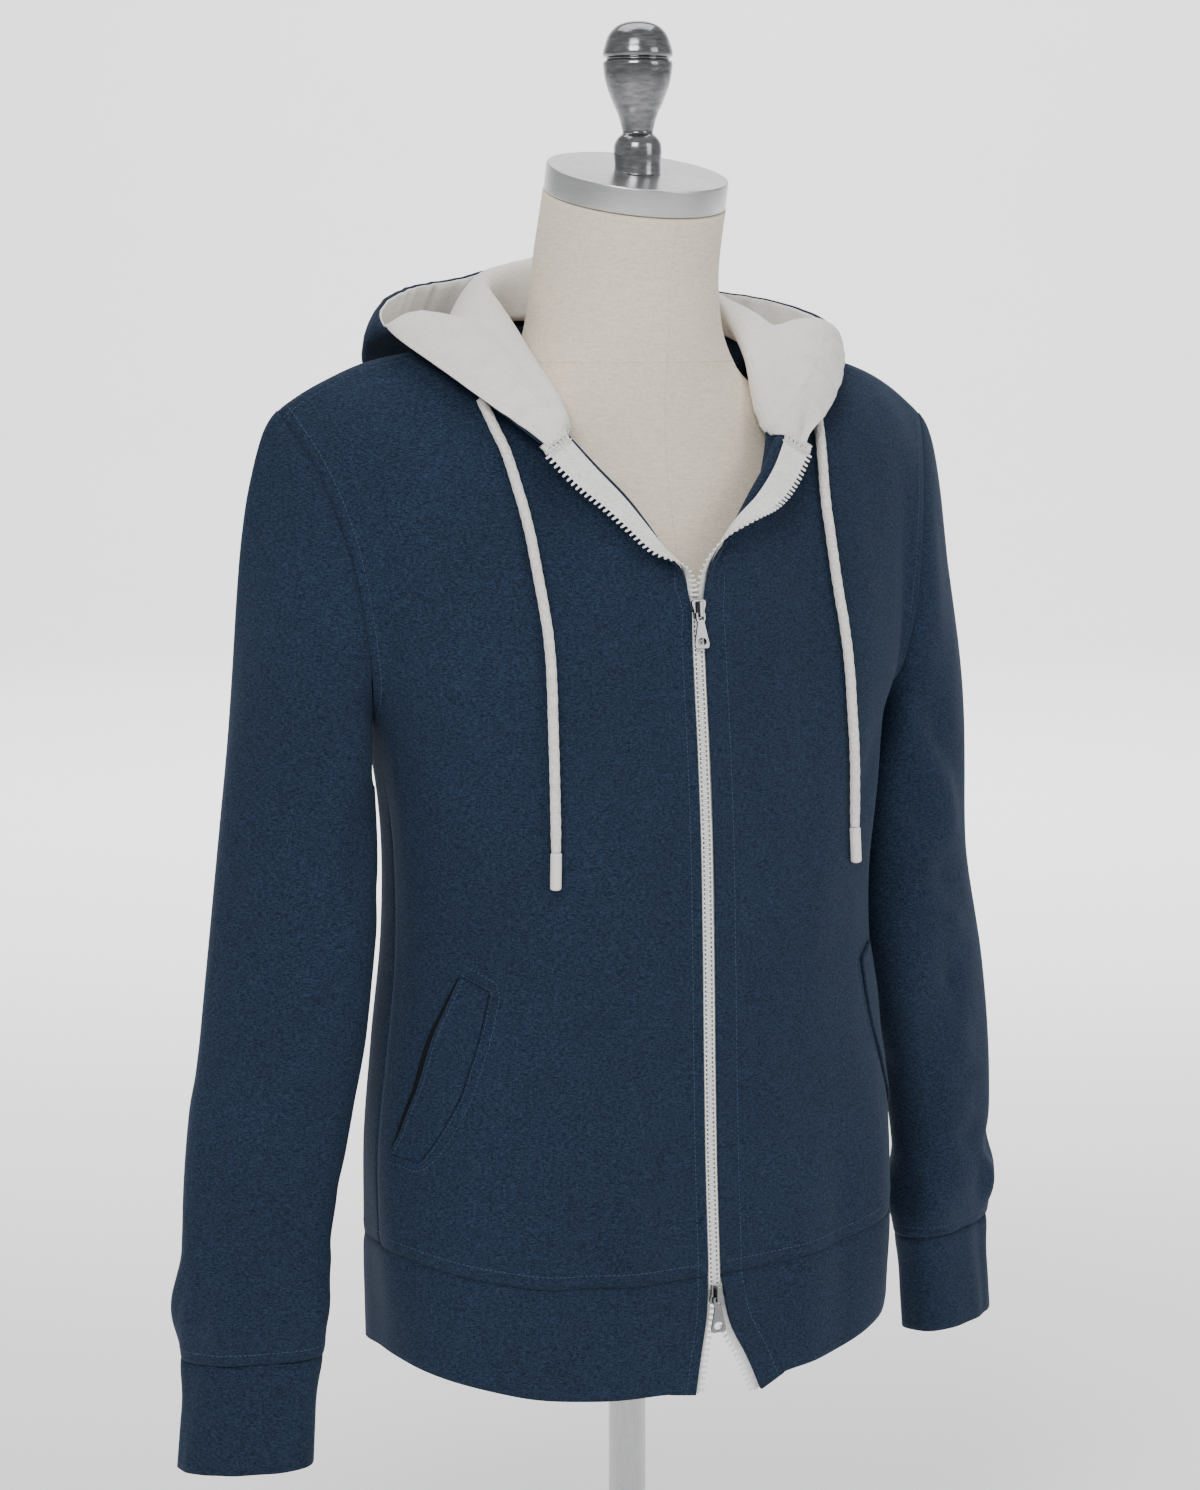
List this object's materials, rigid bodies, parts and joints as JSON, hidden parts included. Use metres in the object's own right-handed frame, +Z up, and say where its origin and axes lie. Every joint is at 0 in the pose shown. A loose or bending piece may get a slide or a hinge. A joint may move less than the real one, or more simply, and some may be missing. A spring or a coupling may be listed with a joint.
{
  "type": "zip-up hooded sweater on a dress form",
  "caption": "Hooded zip-up sweater of heathered knit with drawcords and slanted pockets, worn by a limbless dress form with neck cap and knob on a pole and round base.",
  "frame": {"origin": "centre of the stand base's underside, on the floor", "axes": "+Z up, -Y the way the sweater's front faces, +X the wearer's left"},
  "size_m": [0.6238, 0.34, 1.1131],
  "materials": {
    "outer_cloth": "heathered navy knit jersey, matt",
    "lining_cloth": "warm white jersey, matt",
    "zip_tape": "white woven zip tape",
    "zip_teeth": "white moulded teeth, satin",
    "slider_metal": "dark polished metal",
    "cord": "white braided cord",
    "cord_tip": "white smooth sheath",
    "form_cloth": "plain beige linen",
    "form_metal": "brushed metal"
  },
  "bodies": {
    "sweater": {"back": "outer_cloth", "cord_tip_left": "cord_tip", "cord_tip_right": "cord_tip", "cuff_left": "outer_cloth", "cuff_right": "outer_cloth", "drawcord_left": "cord", "drawcord_right": "cord", "form_base": "form_metal", "form_cap": "form_metal", "form_knob": "form_metal", "form_pole": "form_metal", "form_torso": "form_cloth", "front_left": "outer_cloth", "front_right": "outer_cloth", "hem_band": "outer_cloth", "hood_left": "outer_cloth", "hood_lining_left": "lining_cloth", "hood_lining_right": "lining_cloth", "hood_right": "outer_cloth", "pocket_welt_left": "outer_cloth", "pocket_welt_right": "outer_cloth", "sleeve_left": "outer_cloth", "sleeve_right": "outer_cloth", "slider_bottom": "slider_metal", "slider_top": "slider_metal", "zip_chain": "zip_teeth", "zip_tape_left": "zip_tape", "zip_tape_right": "zip_tape"},
    "pull_top": {"pull_top": "slider_metal"},
    "pull_bottom": {"pull_bottom": "slider_metal"}
  },
  "joints": [
    {"name": "pull_top_swing", "type": "hinge", "parent": "sweater", "child": "pull_top", "pos_m": [0, -0.09849, 0.73627], "axis": [-1, 0, 0], "range_deg": [0, 120]},
    {"name": "pull_bottom_swing", "type": "hinge", "parent": "sweater", "child": "pull_bottom", "pos_m": [0, -0.12481, 0.29452], "axis": [-1, 0, 0], "range_deg": [0, 120]}
  ]
}
